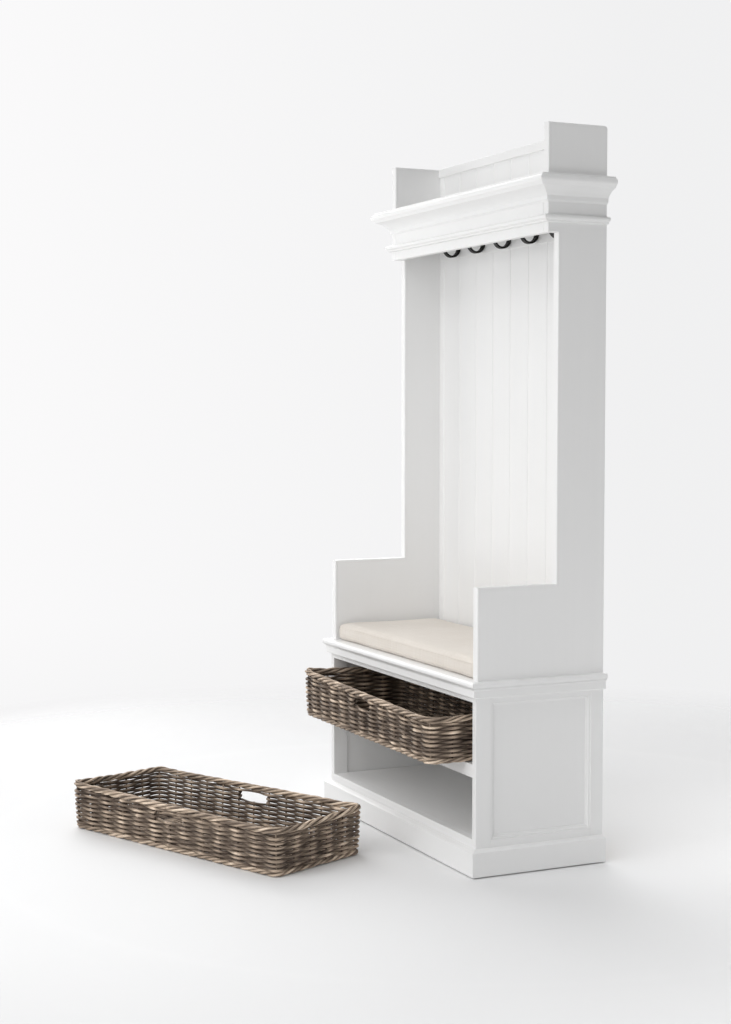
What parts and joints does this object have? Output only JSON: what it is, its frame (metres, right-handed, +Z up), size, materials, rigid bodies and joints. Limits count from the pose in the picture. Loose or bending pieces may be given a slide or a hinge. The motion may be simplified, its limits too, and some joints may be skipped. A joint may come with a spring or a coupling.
{
  "type": "hall tree with bench and hooks",
  "caption": "White painted hall tree: cushioned bench over two open compartments, tall boarded hutch with coat hooks under a moulded cornice, and wicker storage baskets.",
  "frame": {"origin": "on the floor at the centre of the cabinet's footprint, which is the middle glide's underside", "axes": "+X to the right seen from the front, +Y towards the wall (the open front faces -Y), +Z up"},
  "size_m": [1.1122, 1.1573, 1.9],
  "materials": {
    "white_paint": "satin white paint on solid wood, faint brush marks, softened arrises",
    "bare_pine": "planed and unpainted",
    "black_iron": "matt black, slightly uneven forged surface",
    "black_screw": "black oxide",
    "cotton_canvas": "natural plain-weave canvas",
    "grey_rattan": "weathered grey-brown peeled cane",
    "nylon_glide": "plain"
  },
  "bodies": {
    "hall_tree": {"astragal_front": "white_paint", "back_battens": "bare_pine", "back_planks": "white_paint", "bench_moulding_front": "white_paint", "bench_slab": "white_paint", "board_cleats": "bare_pine", "bottom_board": "white_paint", "bottom_rail": "white_paint", "cabinet_back": "white_paint", "cabinet_top_rail": "white_paint", "cap_rail": "white_paint", "centre_bearer": "bare_pine", "corner_blocks": "bare_pine", "crown_front": "white_paint", "fascia": "white_paint", "glides": "nylon_glide", "hook_1": "black_iron", "hook_2": "black_iron", "hook_3": "black_iron", "hook_4": "black_iron", "hook_5": "black_iron", "hook_rail": "white_paint", "hook_screws": "black_screw", "left_astragal": "white_paint", "left_bench_moulding": "white_paint", "left_bottom_rail": "white_paint", "left_crown": "white_paint", "left_front_stile": "white_paint", "left_hutch_side": "white_paint", "left_panel": "white_paint", "left_panel_moulding": "white_paint", "left_plinth": "white_paint", "left_rear_stile": "white_paint", "left_top_rail": "white_paint", "plinth_back": "bare_pine", "plinth_front": "white_paint", "right_astragal": "white_paint", "right_bench_moulding": "white_paint", "right_bottom_rail": "white_paint", "right_crown": "white_paint", "right_front_stile": "white_paint", "right_hutch_side": "white_paint", "right_panel": "white_paint", "right_panel_moulding": "white_paint", "right_plinth": "white_paint", "right_rear_stile": "white_paint", "right_top_rail": "white_paint", "shelf_board": "white_paint", "shelf_rail": "white_paint", "top_shelf": "white_paint", "upper_planks": "white_paint"},
    "seat_cushion": {"seat_cushion": "cotton_canvas"},
    "upper_basket": {"upper_basket_base": "grey_rattan", "upper_basket_border": "grey_rattan", "upper_basket_ends": "grey_rattan", "upper_basket_sides": "grey_rattan"},
    "floor_basket": {"floor_basket_base": "grey_rattan", "floor_basket_border": "grey_rattan", "floor_basket_ends": "grey_rattan", "floor_basket_sides": "grey_rattan"}
  },
  "joints": [
    {"name": "upper_basket_slide", "type": "slide", "parent": "hall_tree", "child": "upper_basket", "axis": [0, -1, 0], "range_m": [-0.105, 0.22]},
    {"name": "floor_basket_lift", "type": "slide", "parent": "hall_tree", "child": "floor_basket", "axis": [0, 0, 1], "range_m": [0, 0.12]},
    {"name": "cushion_lift", "type": "slide", "parent": "hall_tree", "child": "seat_cushion", "axis": [0, 0, 1], "range_m": [0, 0.25]}
  ]
}
